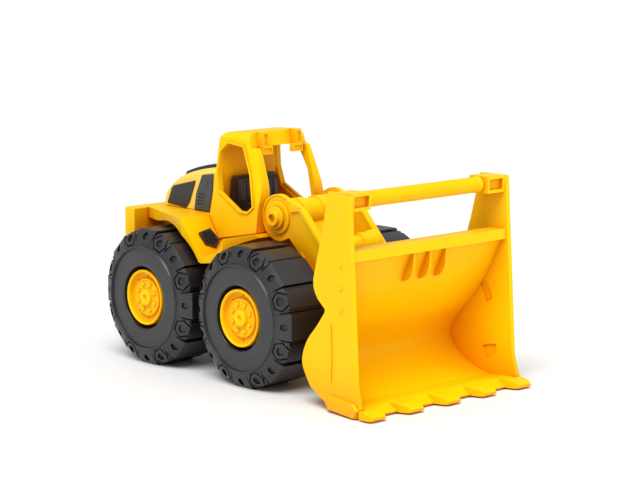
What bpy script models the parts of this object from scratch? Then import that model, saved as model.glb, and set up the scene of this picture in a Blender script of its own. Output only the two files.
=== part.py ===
"""Toy wheel loader, at rest on its four tyres with the bucket down on the ground.

Metres, +X towards the bucket, +Y to the loader's left, +Z up, ground at z = 0. Shapes are drawn in
tyre radii: x from the rear axle, y from the middle plane, z from the ground.
"""

import math

import bmesh
import bpy
from mathutils import Vector

# Driving dimensions. RADIUS scales the whole toy; everything below it is in tyre radii.
RADIUS = 0.064
REAR_AXLE_X_M = -0.12415
FIT_GAP = 0.0003 / RADIUS
AXLE_Z = 1.0
WHEELBASE = 2.143

# Wheels
TREAD_INNER = 0.76
TREAD_OUTER = 1.398
TYRE_INNER = 0.63
TYRE_BEAD = 1.534
BEAD_RADIUS = 0.755
LUG_RADIUS = 0.999
FACET_HALF_DEG = 11.0
GROOVE_HALF_DEG = 0.85
FACET_RADIUS = AXLE_Z / math.cos(math.radians(FACET_HALF_DEG))
GROOVE_RADIUS = 0.955
TREAD_REPEATS = 8
BORE_RADIUS = 0.424
MOUTH_RADIUS = 0.461
RIM_RADIUS = BORE_RADIUS * math.cos(math.radians(FACET_HALF_DEG)) - FIT_GAP
AXLE_RADIUS = 0.039
AXLE_HALF_LENGTH = 1.46
BEARING_RADIUS = AXLE_RADIUS + FIT_GAP
WHEEL_SEGMENTS = 32

# Frame, body and cab
CHASSIS_HALF = 0.50
CHASSIS_TOP = 1.56
WALL = 0.06
DECK_Z = 2.20
BODY_HALF = 0.515
CAB_HALF = 0.532
CAB_TOP = 3.455
CAB_FLARE = 0.11
FENDER_HALF = 1.20
ARCH_RADIUS = 1.09
BUMPER_HALF = 1.07
BUMPER_BOTTOM = 1.77
SLOPE_TOP = (0.49, DECK_Z)
SLOPE_FOOT = (0.93, 1.69)
HOOD_HALF = 0.50

# Loader front end
PIVOT = (1.94, 2.31)
HINGE = (3.48, 1.22)
TORQUE_TUBE = (2.83, 1.96)
ARM_INNER = 0.50
ARM_OUTER = 0.565
DISC_RADIUS = 0.335
DOORWAY_HALF = 0.435
BOLT_RADIUS = 0.07
PIN_RADIUS = 0.05
PAN_HALF = 1.465
SIDE_OUTER = 1.541
GRIP = (4.245, 2.865)
GRIP_RADIUS = 0.115
GRIP_HALF = 1.125
PLATE_FRONT = 4.43
DRAFT = 0.10
TOOTH_CENTRES = (-1.42, -0.71, 0.0, 0.71, 1.42)
LIP_X = 4.72
TOOTH_REACH = 1.585

COLOURS = {
    "yellow_plastic": ((0.93, 0.55, 0.01), 0.35, 0.0),
    "pale_yellow_plastic": ((0.93, 0.66, 0.09), 0.35, 0.0),
    "black_plastic": ((0.018, 0.018, 0.020), 0.45, 0.0),
    "grey_plastic": ((0.045, 0.047, 0.050), 0.50, 0.0),
    "tyre_black": ((0.022, 0.022, 0.024), 0.55, 0.0),
    "steel": ((0.60, 0.60, 0.62), 0.30, 1.0),
}


def clear_scene():
    for obj in list(bpy.data.objects):
        bpy.data.objects.remove(obj, do_unlink=True)


def material(name):
    """The Principled material of this name, made on first use."""
    found = bpy.data.materials.get(name)
    if found:
        return found
    colour, roughness, metallic = COLOURS[name]
    made = bpy.data.materials.new(name)
    made.use_nodes = True
    shader = made.node_tree.nodes["Principled BSDF"]
    shader.inputs["Base Color"].default_value = (*colour, 1.0)
    shader.inputs["Roughness"].default_value = roughness
    shader.inputs["Metallic"].default_value = metallic
    return made


def at(x, y, z):
    """A point given in tyre radii, in world metres."""
    return Vector((REAR_AXLE_X_M + x * RADIUS, y * RADIUS, z * RADIUS))


def band(bm, first, second):
    """Quads between two rings of as many vertices each."""
    count = len(first)
    for i in range(count):
        j = (i + 1) % count
        bm.faces.new((first[i], first[j], second[j], second[i]))


def loft(bm, rings):
    """A closed solid through rings of points, capped at both ends."""
    loops = [[bm.verts.new(at(*point)) for point in ring] for ring in rings]
    for first, second in zip(loops, loops[1:]):
        band(bm, first, second)
    bm.faces.new(loops[0])
    bm.faces.new(loops[-1])


def prism(bm, outline, y0, y1):
    """The (x, z) outline from y0 to y1."""
    loft(bm, [[(x, y, z) for x, z in outline] for y in (y0, y1)])


def box(bm, x0, x1, y0, y1, z0, z1):
    prism(bm, [(x0, z0), (x1, z0), (x1, z1), (x0, z1)], y0, y1)


def circle(centre, radius, count=WHEEL_SEGMENTS, phase=0.0):
    """(x, z) points round a centre."""
    turns = [phase + 2 * math.pi * i / count for i in range(count)]
    return [(centre[0] + radius * math.cos(t), centre[1] + radius * math.sin(t)) for t in turns]


def arc(centre, radius, start, end, count):
    """(x, z) points from one angle to another, in degrees."""
    turns = [math.radians(start + (end - start) * i / (count - 1)) for i in range(count)]
    return [(centre[0] + radius * math.cos(t), centre[1] + radius * math.sin(t)) for t in turns]


def turned(bm, centre, profile, segments=WHEEL_SEGMENTS):
    """A solid of revolution about the Y line through centre, from a run of (radius, y), ends capped."""
    loft(bm, [[(x, y, z) for x, z in circle(centre, radius, segments)] for radius, y in profile])


def turned_ring(bm, centre, profile, segments=WHEEL_SEGMENTS):
    """As turned, but the profile closes on itself round a bore."""
    loops = []
    for radius, y in profile:
        loops.append([bm.verts.new(at(x, y, z)) for x, z in circle(centre, radius, segments)])
    for first, second in zip(loops, loops[1:] + loops[:1]):
        band(bm, first, second)


def slice_off(bm, point, normal):
    """Removes what lies beyond the plane and closes the cut."""
    parts = bm.verts[:] + bm.edges[:] + bm.faces[:]
    cut = bmesh.ops.bisect_plane(bm, geom=parts, plane_co=point, plane_no=normal, clear_outer=True)
    edges = [item for item in cut["geom_cut"] if isinstance(item, bmesh.types.BMEdge)]
    bmesh.ops.holes_fill(bm, edges=edges, sides=0)


def finish(bm, name, material_name, smooth_angle=30.0):
    """The bmesh as a named object with outward faces; edges sharper than smooth_angle stay sharp."""
    bmesh.ops.recalc_face_normals(bm, faces=bm.faces)
    mesh = bpy.data.meshes.new(name)
    bm.to_mesh(mesh)
    bm.free()
    mesh.materials.append(material(material_name))
    mesh.shade_smooth()
    mesh.set_sharp_from_angle(angle=math.radians(smooth_angle))
    obj = bpy.data.objects.new(name, mesh)
    bpy.context.scene.collection.objects.link(obj)
    return obj


def combine(obj, bm, operation, label):
    """A Boolean of the object with the bmesh, which stays as a hidden helper."""
    helper = finish(bm, f"{obj.name}_{label}", "grey_plastic")
    helper.hide_render = True
    helper.display_type = "WIRE"
    modifier = obj.modifiers.new(label, "BOOLEAN")
    modifier.operation = operation
    modifier.solver = "EXACT"
    modifier.object = helper


def soften(obj, width_m, segments=1, angle=40.0):
    modifier = obj.modifiers.new("edges", "BEVEL")
    modifier.width = width_m
    modifier.segments = segments
    modifier.limit_method = "ANGLE"
    modifier.angle_limit = math.radians(angle)


def tread_ring(centre_x, y, lug, facet, groove):
    """One ring round the tyre: flat facets and lugs in turn, a groove between."""
    step = 360.0 / TREAD_REPEATS
    groove_mid = FACET_HALF_DEG + GROOVE_HALF_DEG
    lug_start = FACET_HALF_DEG + 2 * GROOVE_HALF_DEG
    pattern = (
        (-FACET_HALF_DEG, facet),
        (FACET_HALF_DEG, facet),
        (groove_mid, groove),
        (lug_start, lug),
        (step - lug_start, lug),
        (step - groove_mid, groove),
    )
    points = []
    for repeat in range(TREAD_REPEATS):
        for angle, radius in pattern:
            turn = math.radians(repeat * step + angle)
            points.append((centre_x + radius * math.cos(turn), y, AXLE_Z + radius * math.sin(turn)))
    return points


def tyre(name, centre_x, side):
    """Chunky tyre: sixteen tread blocks with stepped shoulders, and a flat sidewall inside a raised bead."""
    bead, dish = TYRE_BEAD, 0.030
    rows = [
        (BORE_RADIUS,) * 3 + (TYRE_INNER,),
        (0.70, 0.70, 0.70, TYRE_INNER),
        (0.90, 0.92, 0.86, TYRE_INNER + 0.05),
        (LUG_RADIUS, FACET_RADIUS, GROOVE_RADIUS, TREAD_INNER),
        (LUG_RADIUS, FACET_RADIUS, GROOVE_RADIUS, TREAD_OUTER),
        (0.900, 0.885, 0.845, 1.478),
        (0.815, 0.805, 0.800, 1.492),
        (BEAD_RADIUS + 0.015, BEAD_RADIUS + 0.015, BEAD_RADIUS + 0.015, 1.505),
        (BEAD_RADIUS,) * 3 + (bead,),
        (BEAD_RADIUS - 0.025,) * 3 + (bead - dish,),
        (0.490,) * 3 + (bead - 0.024,),
        (MOUTH_RADIUS,) * 3 + (bead - 0.045,),
        (MOUTH_RADIUS - 0.012,) * 3 + (1.400,),
        (BORE_RADIUS,) * 3 + (1.375,),
    ]
    bm = bmesh.new()
    loops = []
    for lug, facet, groove, y in rows:
        ring = tread_ring(centre_x, side * y, lug, facet, groove)
        loops.append([bm.verts.new(at(*point)) for point in ring])
    for first, second in zip(loops, loops[1:] + loops[:1]):
        band(bm, first, second)
    finish(bm, name, "tyre_black")


def rim(name, centre_x, side):
    """Dished wheel centre with a raised disc, hub boss and a drum that fills the tyre's bore."""
    profile = [
        (AXLE_RADIUS + FIT_GAP, TYRE_INNER + 0.01),
        (0.130, TYRE_INNER + 0.01),
        (0.145, 1.300),
        (0.345, 1.320),
        (0.355, 0.760),
        (RIM_RADIUS - 0.01, 0.750),
        (RIM_RADIUS, 1.370),
        (RIM_RADIUS - 0.003, 1.486),
        (RIM_RADIUS - 0.025, 1.500),
        (0.362, 1.485),
        (0.345, 1.415),
        (0.285, 1.405),
        (0.262, 1.440),
        (0.150, 1.440),
        (0.125, 1.485),
        (0.075, 1.490),
        (AXLE_RADIUS + FIT_GAP, 1.478),
    ]
    bm = bmesh.new()
    turned_ring(bm, (centre_x, AXLE_Z), [(radius, side * y) for radius, y in profile])
    finish(bm, name, "yellow_plastic")


def axle(name, centre_x):
    bm = bmesh.new()
    tip, shank = AXLE_HALF_LENGTH, AXLE_HALF_LENGTH - 0.015
    profile = [(0.026, -tip), (AXLE_RADIUS, -shank), (AXLE_RADIUS, shank), (0.026, tip)]
    turned(bm, (centre_x, AXLE_Z), profile, 16)
    finish(bm, name, "steel")


def chassis():
    """Open-topped black tub that carries both axles."""
    outline = [(-0.70, 1.15), (-0.55, 0.78), (0.50, 0.70), (1.60, 0.70), (2.62, 0.80), (2.72, 1.15)]
    outline += [(2.50, CHASSIS_TOP), (-0.70, CHASSIS_TOP)]
    bm = bmesh.new()
    prism(bm, outline, -CHASSIS_HALF, CHASSIS_HALF)
    obj = finish(bm, "chassis", "black_plastic")
    cavity = bmesh.new()
    inside = [(-0.64, 1.18), (-0.50, 0.86), (0.50, 0.77), (1.60, 0.77), (2.56, 0.87), (2.64, 1.16)]
    inside += [(2.44, CHASSIS_TOP + WALL), (-0.64, CHASSIS_TOP + WALL)]
    prism(cavity, inside, WALL - CHASSIS_HALF, CHASSIS_HALF - WALL)
    combine(obj, cavity, "DIFFERENCE", "cavity")
    sleeves = bmesh.new()
    bores = bmesh.new()
    for x in (0.0, WHEELBASE):
        turned(sleeves, (x, AXLE_Z), [(0.115, -0.60), (0.115, 0.60)], 24)
        turned(bores, (x, AXLE_Z), [(BEARING_RADIUS, -0.70), (BEARING_RADIUS, 0.70)], 16)
    combine(obj, sleeves, "UNION", "sleeves")
    combine(obj, bores, "DIFFERENCE", "bores")


def chassis_screws():
    """Four pan-head screws under the flat belly."""
    top = 0.70 - FIT_GAP
    places = ((0.62, -0.36), (0.62, 0.36), (1.48, -0.36), (1.48, 0.36))
    for number, centre in enumerate(places, 1):
        rings = []
        for radius, z in ((0.050, top), (0.050, top - 0.014), (0.034, top - 0.026)):
            rings.append([(x, y, z) for x, y in circle(centre, radius, 12)])
        bm = bmesh.new()
        loft(bm, rings)
        finish(bm, f"chassis_screw_{number}", "steel")


def fender(bm, side):
    """One side's fenders: a flared arch over the rear wheel and a low lip that meets the front wheel."""
    front = (WHEELBASE, AXLE_Z)
    rear = (0.0, AXLE_Z)
    outline = [(-0.775, 2.04), (-0.775, DECK_Z), SLOPE_TOP, SLOPE_FOOT, (1.04, 1.695), (1.30, 1.80)]
    outline += [(1.40, 1.89), (1.45, 2.010), (1.50, 2.020), (1.58, 2.038), (1.70, 2.056)]
    outline += arc(front, ARCH_RADIUS, 112.0, 144.0, 8)
    outline += [(1.105, 1.615), (0.955, 1.595)]
    outline += arc(rear, ARCH_RADIUS, 34.0, 104.0, 11)
    outline += [(-0.42, 2.04)]
    part = bmesh.new()
    prism(part, outline, side * (BODY_HALF - 0.06), side * FENDER_HALF)
    # The flank flares outwards from the bumper to the crest, and turns in again over the front wheel.
    planes = (
        (at(-0.73, side * 0.80, 0.0), Vector((-0.32, side, 0.0))),
        (at(1.45, side * FENDER_HALF, 0.0), Vector((1.0, side * 0.62, 0.0))),
    )
    for point, normal in planes:
        slice_off(part, point, normal)
    mesh = bpy.data.meshes.new("fender")
    part.to_mesh(mesh)
    part.free()
    bm.from_mesh(mesh)
    bpy.data.meshes.remove(mesh)


def body_shell():
    """Deck over the chassis, open below, with both sides' fenders."""
    floor = CHASSIS_TOP + FIT_GAP
    outline = [(-0.77, floor), (-0.77, DECK_Z), (1.56, DECK_Z), (1.56, floor)]
    bm = bmesh.new()
    prism(bm, outline, -BODY_HALF, BODY_HALF)
    obj = finish(bm, "body_shell", "yellow_plastic")
    for side, label in ((1, "fender_l"), (-1, "fender_r")):
        fenders = bmesh.new()
        fender(fenders, side)
        combine(obj, fenders, "UNION", label)
    cavity = bmesh.new()
    box(cavity, -0.71, 1.50, WALL - BODY_HALF, BODY_HALF - WALL, 1.40, DECK_Z - WALL)
    combine(obj, cavity, "DIFFERENCE", "cavity")


def counterweight():
    """Full-width rear bumper with a pad that meets the body."""
    bm = bmesh.new()
    plan = [(-1.02, -0.98), (-0.99, -BUMPER_HALF), (-0.76, -BUMPER_HALF), (-0.76, -0.81), (-0.785, -0.80)]
    plan += [(x, -y) for x, y in reversed(plan)]
    loft(bm, [[(x, y, z) for x, y in plan] for z in (BUMPER_BOTTOM, DECK_Z)])
    obj = finish(bm, "counterweight", "yellow_plastic")
    soften(obj, 0.0012, 2)


def hood_section(x, top, lean):
    """Half-octagon section; lean moves its top forwards."""
    shoulder = top - 0.07
    points = []
    for y, z in ((HOOD_HALF, DECK_Z + FIT_GAP), (HOOD_HALF - 0.015, shoulder), (HOOD_HALF - 0.12, top)):
        points.append((x + lean * (z - DECK_Z), y, z))
    return points + [(px, -y, z) for px, y, z in reversed(points)]


HOOD_STATIONS = (
    (-0.750, 2.400, 0.10),
    (-0.690, 2.515, 0.10),
    (-0.600, 2.600, 0.10),
    (-0.470, 2.675, 0.10),
    (-0.200, 2.770, 0.12),
    (0.120, 2.845, 0.15),
    (0.420, 2.890, 0.18),
)


def hood():
    bm = bmesh.new()
    loft(bm, [hood_section(*station) for station in HOOD_STATIONS])
    obj = finish(bm, "hood", "pale_yellow_plastic")
    cavity = bmesh.new()
    box(cavity, -0.56, 0.36, -HOOD_HALF + 0.08, HOOD_HALF - 0.08, 2.10, 2.46)
    combine(obj, cavity, "DIFFERENCE", "cavity")


def hood_top_panel():
    """Black strip along the top of the hood, following its crown."""
    bm = bmesh.new()
    rings = []
    for x, top, lean in HOOD_STATIONS[3:]:
        base = top + FIT_GAP
        forward = x + lean * (top - DECK_Z)
        half = HOOD_HALF - 0.15
        rise = 0.050
        rings.append(
            [
                (forward, half, base),
                (forward, half - 0.03, base + rise),
                (forward, 0.03 - half, base + rise),
                (forward, -half, base),
            ]
        )
    loft(bm, rings)
    finish(bm, "hood_top_panel", "black_plastic")


def hood_side_panel(name, outline, side, material_name, thickness):
    """A thin plate lying on the hood's flank."""
    bm = bmesh.new()
    slope = 0.015 / 0.60
    rings = []
    for offset in (FIT_GAP, FIT_GAP + thickness):
        ring = [(x, side * (HOOD_HALF + 0.001 - slope * (z - DECK_Z) + offset), z) for x, z in outline]
        rings.append(ring)
    loft(bm, rings)
    return finish(bm, name, material_name)


def hood_panels(side, tag):
    badge = [(-0.66, 2.245), (-0.56, 2.475), (-0.52, 2.520), (0.0, 2.645), (-0.13, 2.315), (-0.22, 2.212)]
    hood_side_panel(f"hood_badge_panel_{tag}", badge, side, "black_plastic", 0.016)
    vent = [(-0.01, 2.212), (0.03, 2.46), (0.165, 2.745), (0.415, 2.785), (0.40, 2.50), (0.33, 2.212)]
    panel = hood_side_panel(f"hood_vent_{tag}", vent, side, "grey_plastic", 0.022)
    slots = bmesh.new()
    for row in range(5):
        z = 2.31 + 0.065 * row
        x = 0.10 + 0.012 * row
        box(slots, x, x + 0.16, side * (HOOD_HALF + 0.012), side * (HOOD_HALF + 0.06), z, z + 0.026)
    combine(panel, slots, "DIFFERENCE", "slots")


def grille(side, tag):
    """Hexagonal mesh plate on the sloping panel between the fenders."""
    slope_top = Vector((SLOPE_TOP[0], 0.0, SLOPE_TOP[1]))
    slope_foot = Vector((SLOPE_FOOT[0], 0.0, SLOPE_FOOT[1]))
    down = (slope_foot - slope_top).normalized()
    out = Vector((-down.z, 0.0, down.x)).normalized()
    centre = slope_top + down * 0.410
    corners = [(0.141, -0.122), (-0.095, -0.170), (-0.160, 0.045), (-0.028, 0.166), (0.128, 0.086)]
    corners += [(0.146, -0.075)]
    rings = []
    for lift in (FIT_GAP, 0.030):
        ring = []
        for across, along in corners:
            point = centre + down * along + out * lift
            ring.append((point.x, side * (0.872 + across), point.z))
        rings.append(ring)
    bm = bmesh.new()
    loft(bm, rings)
    finish(bm, f"grille_{tag}", "black_plastic")


def flared(bm):
    """Cab walls lean outwards on the way down."""
    for vert in bm.verts:
        drop = CAB_TOP - vert.co.z / RADIUS
        vert.co.y *= 1.0 + CAB_FLARE * drop / CAB_HALF


def cab():
    """Open-fronted cab: one moulding of walls, posts, roof and the two roof lights."""
    outline = [(0.535, 2.208), (0.597, 2.91), (0.62, 3.34), (0.72, 3.43), (1.24, CAB_TOP), (1.30, 3.25)]
    outline += [(1.42, 3.235), (1.475, 3.09), (1.57, 2.80), (1.60, 2.67), (1.60, 2.50), (1.585, 2.38)]
    outline += [(1.585, 2.055), (0.78, 1.895)]
    bm = bmesh.new()
    prism(bm, outline, -CAB_HALF, CAB_HALF)
    flared(bm)
    # The front posts and the roof's long edges are chamfered.
    for side in (-1, 1):
        slice_off(bm, at(1.45, side * 0.604, 2.80), Vector((0.298, side * 0.927, 0.226)))
        slice_off(bm, at(1.0, side * 0.54, 3.36), Vector((0.0, side * 0.726, 0.688)))
    obj = finish(bm, "cab", "yellow_plastic")
    under = bmesh.new()
    step = BODY_HALF + FIT_GAP
    box(under, 0.0, 1.56 + FIT_GAP, -step, step, 1.0, DECK_Z + FIT_GAP)
    combine(obj, under, "DIFFERENCE", "deck_step")
    room = bmesh.new()
    inside = [(0.60, 2.27), (0.655, 2.91), (0.68, 3.32), (0.75, 3.37), (1.20, 3.385), (1.17, 3.27)]
    inside += [(1.32, 2.95), (1.43, 2.70), (1.46, 2.45), (1.46, 2.27)]
    prism(room, inside, WALL - CAB_HALF, CAB_HALF - WALL)
    flared(room)
    combine(obj, room, "DIFFERENCE", "room")
    doorway = bmesh.new()
    box(doorway, 1.08, 1.80, -DOORWAY_HALF, DOORWAY_HALF, 2.345, 3.252)
    combine(obj, doorway, "DIFFERENCE", "front_opening")
    windows = bmesh.new()
    pane = [(0.83, 3.28), (1.17, 3.25), (1.365, 2.87), (1.475, 2.42), (1.375, 2.335), (1.217, 2.335)]
    pane += [(0.72, 2.59), (0.655, 2.85), (0.68, 3.15)]
    prism(windows, pane, -0.90, 0.90)
    combine(obj, windows, "DIFFERENCE", "windows")
    hoods = bmesh.new()
    lamps = bmesh.new()
    for side in (-1, 1):
        box(hoods, 1.22, 1.385, side * 0.265, side * 0.375, 3.25, 3.47)
        box(lamps, 1.32, 1.405, side * 0.20, side * 0.385, 3.145, 3.262)
    combine(obj, hoods, "UNION", "light_hoods")
    combine(obj, lamps, "UNION", "roof_lights")


def seat():
    """Ribbed black seat moulding inside the cab."""
    bm = bmesh.new()
    floor = 2.27 + FIT_GAP
    outline = [(0.62, floor), (0.675, 2.72), (0.73, 2.785), (0.82, 2.76), (0.86, 2.66), (0.87, 2.40)]
    outline += [(1.16, 2.38), (1.18, floor)]
    prism(bm, outline, -0.38, 0.38)
    obj = finish(bm, "seat", "black_plastic")
    grooves = bmesh.new()
    for index in range(5):
        y = -0.26 + 0.13 * index
        box(grooves, 0.82, 1.0, y - 0.020, y + 0.020, 2.45, 2.85)
    combine(obj, grooves, "DIFFERENCE", "grooves")


def front_tower():
    """Tower on the chassis nose with the cross tube that the lift arms turn on."""
    bm = bmesh.new()
    base = CHASSIS_TOP + FIT_GAP
    outline = [(1.61, base), (2.46, base), (2.40, 1.95), (2.16, 2.22), (2.08, 2.32), (1.80, 2.32)]
    outline += [(1.72, 2.22), (1.61, 2.02)]
    prism(bm, outline, -0.40, 0.40)
    obj = finish(bm, "front_tower", "yellow_plastic")
    tube = bmesh.new()
    half = [(0.232, 0.0), (0.232, 0.105), (0.252, 0.115), (0.252, 0.488)]
    profile = [(radius, -y) for radius, y in reversed(half[1:])] + half[1:]
    turned(tube, PIVOT, profile, 28)
    combine(obj, tube, "UNION", "cross_tube")
    bores = bmesh.new()
    for side in (-1, 1):
        reach = BOLT_RADIUS + FIT_GAP
        turned(bores, PIVOT, [(reach, side * 0.25), (reach, side * 0.60)], 20)
    combine(obj, bores, "DIFFERENCE", "bolt_bores")


def pivot_bolt(side, tag):
    """Stepped boss that holds an arm to the cross tube; its head has a hex socket."""
    bm = bmesh.new()
    face = ARM_OUTER + 0.035 + FIT_GAP
    profile = [(BOLT_RADIUS, 0.26), (BOLT_RADIUS, face), (0.165, face), (0.165, face + 0.045)]
    profile += [(0.120, face + 0.050), (0.112, face + 0.100)]
    turned(bm, PIVOT, [(radius, side * y) for radius, y in profile], 24)
    obj = finish(bm, f"arm_pivot_bolt_{tag}", "yellow_plastic")
    socket = bmesh.new()
    prism(socket, circle(PIVOT, 0.065, 6), side * (face + 0.045), side * (face + 0.2))
    combine(obj, socket, "DIFFERENCE", "socket")


ARM_TOP_EDGE = [(2.44, 2.49), (2.80, 2.10), (3.20, 1.68), (3.50, 1.42)]
ARM_LOWER_EDGE = [(3.40, 1.05), (3.06, 1.24), (2.70, 1.53), (2.40, 1.83), (2.16, 2.04)]


def lift_arm(side, tag):
    """Plate from the pivot disc down to the bucket hinge, with a flange along its edges."""
    tip = arc(HINGE, 0.17, 82.0, -112.0, 9)
    disc = arc(PIVOT, DISC_RADIUS, 300.0, 50.0, 17)
    outline = disc + ARM_TOP_EDGE[:-1] + tip + ARM_LOWER_EDGE[1:]
    bm = bmesh.new()
    prism(bm, outline, side * ARM_INNER, side * ARM_OUTER)
    obj = finish(bm, f"lift_arm_{tag}", "yellow_plastic")
    ridge = bmesh.new()
    rail = 0.055
    top = [(2.24, 2.455)] + ARM_TOP_EDGE[:-1] + [(3.47, 1.39)]
    below = [(x - 0.7 * rail, z - 0.7 * rail) for x, z in reversed(top)]
    prism(ridge, top + below, side * (ARM_INNER - 0.01), side * (ARM_OUTER + 0.030))
    turned(ridge, PIVOT, [(0.225, side * (ARM_INNER + 0.02)), (0.215, side * (ARM_OUTER + 0.035))], 28)
    combine(obj, ridge, "UNION", "raised_edges")
    holes = bmesh.new()
    reach = BOLT_RADIUS + FIT_GAP
    turned(holes, PIVOT, [(reach, side * 0.3), (reach, side * 0.8)], 24)
    turned(holes, HINGE, [(PIN_RADIUS + FIT_GAP, side * 0.3), (PIN_RADIUS + FIT_GAP, side * 0.8)], 16)
    combine(obj, holes, "DIFFERENCE", "holes")


def torque_tube():
    """Stepped tube that ties the two lift arms together."""
    bm = bmesh.new()
    end = ARM_INNER - 0.01 - FIT_GAP
    half = [(0.115, 0.0), (0.115, 0.14), (0.155, 0.16), (0.155, 0.36), (0.175, 0.38), (0.175, end)]
    profile = [(radius, -y) for radius, y in reversed(half[1:])] + half[1:]
    turned(bm, TORQUE_TUBE, profile, 28)
    finish(bm, "arm_torque_tube", "yellow_plastic")


def hinge_pin():
    bm = bmesh.new()
    head, face, tip = 0.085, 0.665, 0.690
    profile = [(head, -tip), (head, -face), (PIN_RADIUS, -face)]
    profile += [(PIN_RADIUS, face), (head, face), (head, tip)]
    turned(bm, HINGE, profile, 16)
    finish(bm, "bucket_hinge_pin", "steel")


PAN_OUTER = [(4.30, 2.08), (4.12, 1.68), (3.94, 1.385), (3.73, 1.12), (3.52, 0.87), (3.425, 0.575)]
PAN_OUTER += [(3.60, 0.285), (3.90, 0.120), (4.20, 0.030)]
PAN_INNER = [(4.20, 0.110), (3.94, 0.185), (3.66, 0.350), (3.490, 0.585), (3.575, 0.840), (3.785, 1.085)]
PAN_INNER += [(4.00, 1.355), (4.18, 1.65), (4.365, 2.065)]
SHELF = [(4.45, 2.080), (4.45, 2.225), (4.19, 2.225), (4.19, 2.08)]


def rounded(points, steps=3):
    """A smooth run of (x, z) points through the given ones (Catmull-Rom)."""
    ends = [points[0]] + points + [points[-1]]
    run = []
    for p0, p1, p2, p3 in zip(ends, ends[1:], ends[2:], ends[3:]):
        for step in range(steps):
            t = step / steps
            run.append(
                tuple(
                    b + 0.5 * t * (c - a + t * (2 * a - 5 * b + 4 * c - d + t * (3 * b - a - 3 * c + d)))
                    for a, b, c, d in zip(p0, p1, p2, p3)
                )
            )
    return run + [points[-1]]


def drafted(bm, outline, y0, y1):
    """A prism whose sides close in towards the rear, as the bucket's do."""
    rings = []
    for y in (y0, y1):
        rings.append([(x, y - math.copysign(DRAFT, y) * (PLATE_FRONT - x), z) for x, z in outline])
    loft(bm, rings)


def tooth(bm, y):
    """A tapering tooth; the outermost ones widen past the side plates only in front of them."""
    stations = ((4.54, 0.245, 0.205, 0.024, 0.122), (4.60, 0.235, 0.195, 0.024, 0.132))
    stations += ((4.664, 0.222, 0.184, 0.024, 0.128), (4.676, 0.219, 0.182, 0.024, 0.127))
    stations += ((4.84, 0.165, 0.140, 0.026, 0.106), (4.90, 0.130, 0.115, 0.032, 0.070))
    outermost = abs(y) == TOOTH_CENTRES[-1]
    rings = []
    for x, foot, crest, low, high in stations:
        ring = [(y - foot, low), (y + foot, low), (y + crest, high), (y - crest, high)]
        if outermost:
            reach = PAN_HALF - 0.01 if x < 4.67 else TOOTH_REACH
            ring = [(math.copysign(min(abs(py), reach), py), pz) for py, pz in ring]
        rings.append([(x, py, pz) for py, pz in ring])
    loft(bm, rings)


def bucket_pan():
    """Curved back and floor with the shelf along its top, teeth along its lip and lugs behind."""
    bm = bmesh.new()
    lip = [(LIP_X - 0.02, 0.018), (LIP_X, 0.045), (LIP_X - 0.16, 0.128), (4.45, 0.124)]
    drafted(bm, rounded(PAN_OUTER) + lip + rounded(PAN_INNER) + SHELF, -PAN_HALF, PAN_HALF)
    obj = finish(bm, "bucket_pan", "yellow_plastic")
    teeth = bmesh.new()
    for y in TOOTH_CENTRES:
        tooth(teeth, y)
    combine(obj, teeth, "UNION", "teeth")
    lugs = bmesh.new()
    lug = arc(HINGE, 0.15, 95.0, 235.0, 9) + [(3.63, 0.95), (3.81, 1.17), (3.985, 1.41), (3.70, 1.43)]
    for side in (-1, 1):
        for inner, outer in ((0.425, 0.485), (0.605, 0.655)):
            prism(lugs, lug, side * inner, side * outer)
    combine(obj, lugs, "UNION", "lugs")
    bores = bmesh.new()
    turned(bores, HINGE, [(PIN_RADIUS + FIT_GAP, -0.9), (PIN_RADIUS + FIT_GAP, 0.9)], 16)
    combine(obj, bores, "DIFFERENCE", "pin_bores")
    ribs = bmesh.new()
    rib = [(4.34, 2.085), (4.16, 1.68), (4.20, 1.66), (4.30, 1.69), (4.365, 1.745), (4.405, 1.82)]
    rib += [(4.42, 1.90), (4.42, 2.085)]
    for y in (-0.31, 0.0, 0.31):
        prism(ribs, rib, y - 0.014, y + 0.014)
    combine(obj, ribs, "UNION", "ribs")


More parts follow.
